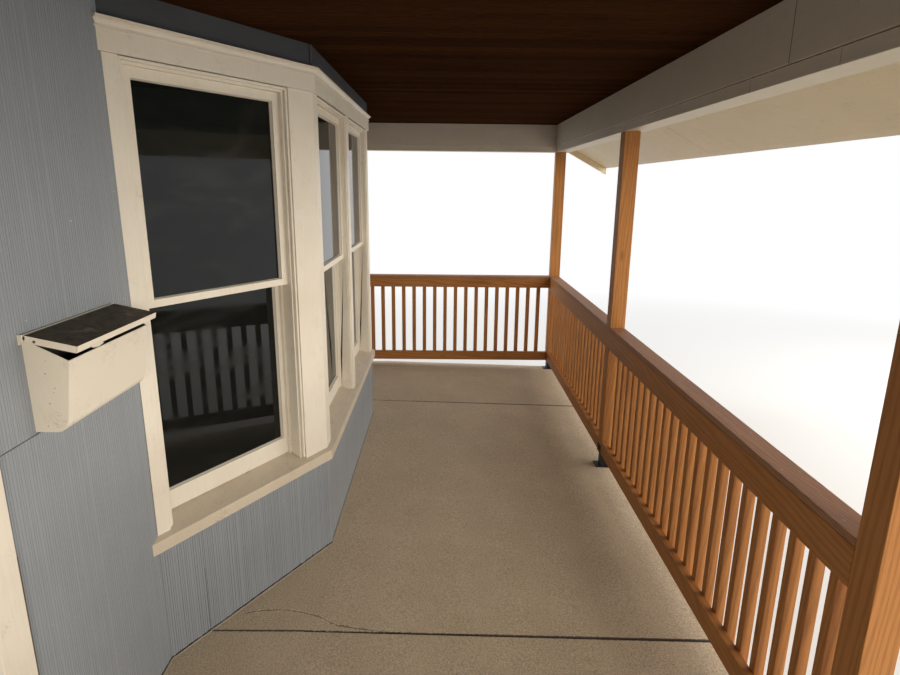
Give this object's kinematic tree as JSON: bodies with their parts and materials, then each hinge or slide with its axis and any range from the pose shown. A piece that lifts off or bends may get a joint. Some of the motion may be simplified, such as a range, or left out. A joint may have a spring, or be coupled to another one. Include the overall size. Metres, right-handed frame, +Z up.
{
  "type": "covered front porch",
  "caption": "Covered front porch with a canted bay window, cedar posts and baluster rails, a beadboard ceiling under a lean-to roof, a cased doorway and a wall mailbox with a hinged lid.",
  "frame": {"origin": "on the ground, under the middle of the foundation", "axes": "+X along the porch from the entry end to the far end, +Y to the house, +Z up"},
  "size_m": [7.573, 2.843, 4.2713],
  "materials": {
    "concrete": "trowelled, stained",
    "wall_core": "sheathed stud wall",
    "siding": "combed, matt blue-grey paint",
    "bay_band": "matt blue-grey paint",
    "trim_paint": "satin cream paint",
    "window_paint": "satin cream paint",
    "pane": "clear, dark behind",
    "mailbox_paint": "satin cream paint",
    "cedar": "stained cedar",
    "cap_cedar": "weathered stain",
    "black_metal": "black powder coat",
    "beam_paint": "satin cream paint",
    "facing_paint": "taupe paint",
    "ceiling_wood": "glossy dark varnish",
    "framing_wood": "sawn softwood",
    "soffit_paint": "satin cream paint",
    "deck_wood": "sheathing",
    "shingle": "granular, matt",
    "eave_paint": "satin cream paint",
    "flashing_metal": "grey coat"
  },
  "bodies": {
    "porch": {"foundation": "concrete", "floor_slab": "concrete", "wall_entry_end": "wall_core", "wall_mailbox_side": "wall_core", "wall_far_end": "wall_core", "wall_over_door": "wall_core", "wall_upper": "wall_core", "siding_lower": "siding", "siding_upper": "siding", "bay_apron": "siding", "gable_panels": "siding", "bay_header": "bay_band", "door_frame": "trim_paint", "bay_sill": "trim_paint", "bay_columns": "trim_paint", "bay_head_trim": "trim_paint", "window_near_side": "window_paint", "window_front_near": "window_paint", "window_front_far": "window_paint", "window_far_side": "window_paint", "window_glass": "pane", "mailbox_body": "mailbox_paint", "post_far": "cedar", "post_middle": "cedar", "post_near": "cedar", "post_entry": "cedar", "rail_far_bay": "cedar", "rail_middle_bay": "cedar", "rail_far_end": "cedar", "rail_near_end": "cedar", "rail_caps": "cap_cedar", "post_bases": "black_metal", "front_beam": "beam_paint", "end_beams": "beam_paint", "beam_facings": "facing_paint", "ceiling": "ceiling_wood", "roof_framing": "framing_wood", "soffit": "soffit_paint", "roof_deck": "deck_wood", "roof_shingles": "shingle", "fascia": "eave_paint", "rake_boards": "eave_paint", "wall_flashing": "flashing_metal"},
    "lid": {"mailbox_lid": "mailbox_paint"}
  },
  "joints": [
    {"name": "mailbox_lid_hinge", "type": "hinge", "parent": "porch", "child": "lid", "pos_m": [-0.818, 1.0317, 1.805], "axis": [-1, 0, 0], "range_deg": [-16.4, 94.6]}
  ]
}
